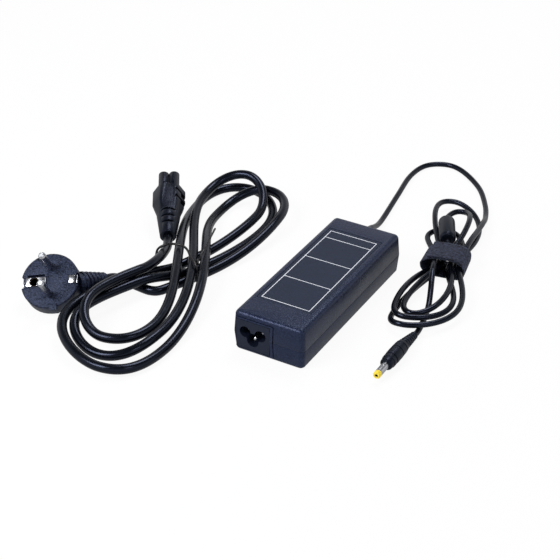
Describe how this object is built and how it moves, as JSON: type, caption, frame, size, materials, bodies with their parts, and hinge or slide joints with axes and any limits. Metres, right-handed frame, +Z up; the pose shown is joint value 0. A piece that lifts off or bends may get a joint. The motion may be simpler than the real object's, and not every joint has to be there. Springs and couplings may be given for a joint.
{
  "type": "laptop power adapter",
  "caption": "Flat power brick with a tied output lead and barrel plug, and a separate twist-tied mains lead with a two-pin earthed plug and a three-hole connector.",
  "frame": {"origin": "middle of the case's underside, on the table that the whole part lies on", "axes": "+X across the case towards the tied output lead, +Y along the case from the mains inlet end to the output cord end, +Z up"},
  "size_m": [0.2549, 0.3471, 0.0405],
  "materials": {
    "case_plastic": "satin",
    "label_film": "satin",
    "black_plastic": "satin",
    "plug_plastic": "satin",
    "cord_plastic": "satin",
    "strap_fabric": "matte",
    "contact_metal": "polished",
    "yellow_plastic": "gloss",
    "white_plastic": "matte",
    "board_laminate": "satin",
    "winding_copper": "gloss",
    "capacitor_sleeve": "gloss",
    "ferrite_grey": "matte",
    "sink_aluminium": "brushed"
  },
  "bodies": {
    "adapter": {"bottom_cover": "case_plastic", "top_cover": "case_plastic", "rating_label": "label_film", "inlet_body": "black_plastic", "inlet_power_pins": "contact_metal", "inlet_earth_pin": "contact_metal", "circuit_board": "board_laminate", "input_fuse": "black_plastic", "common_mode_choke": "winding_copper", "x_capacitor": "yellow_plastic", "bridge_rectifier": "black_plastic", "bulk_capacitor": "capacitor_sleeve", "primary_heat_sink": "sink_aluminium", "power_transistor": "black_plastic", "transformer_core": "ferrite_grey", "transformer_winding": "winding_copper", "secondary_heat_sink": "sink_aluminium", "output_rectifier": "black_plastic", "output_capacitors": "capacitor_sleeve", "y_capacitor": "capacitor_sleeve", "control_chip": "black_plastic", "optocoupler": "white_plastic", "insulation_sheet": "white_plastic", "shield_plate": "sink_aluminium", "output_grommet": "cord_plastic", "output_cord_run": "cord_plastic", "output_cord_hank": "cord_plastic", "output_cord_tail": "cord_plastic", "ferrite_sleeve": "cord_plastic", "ferrite_core": "ferrite_grey", "hook_and_loop_strap": "strap_fabric", "output_plug_moulding": "cord_plastic", "output_plug_barrel": "contact_metal", "output_plug_tip": "yellow_plastic", "output_plug_centre": "contact_metal"},
    "mains_lead": {"mains_plug_body": "plug_plastic", "mains_plug_pins": "contact_metal", "mains_plug_earth_plate": "contact_metal", "mains_plug_earth_sleeve": "contact_metal", "mains_cord_plug_end": "cord_plastic", "mains_cord_hank": "cord_plastic", "mains_cord_connector_end": "cord_plastic", "connector_body": "plug_plastic", "connector_contacts": "contact_metal", "twist_tie": "cord_plastic"}
  },
  "joints": [
    {"name": "mains_lead_lift", "type": "slide", "parent": "adapter", "child": "mains_lead", "axis": [0, 0, 1], "range_m": [0, 0.1]}
  ]
}
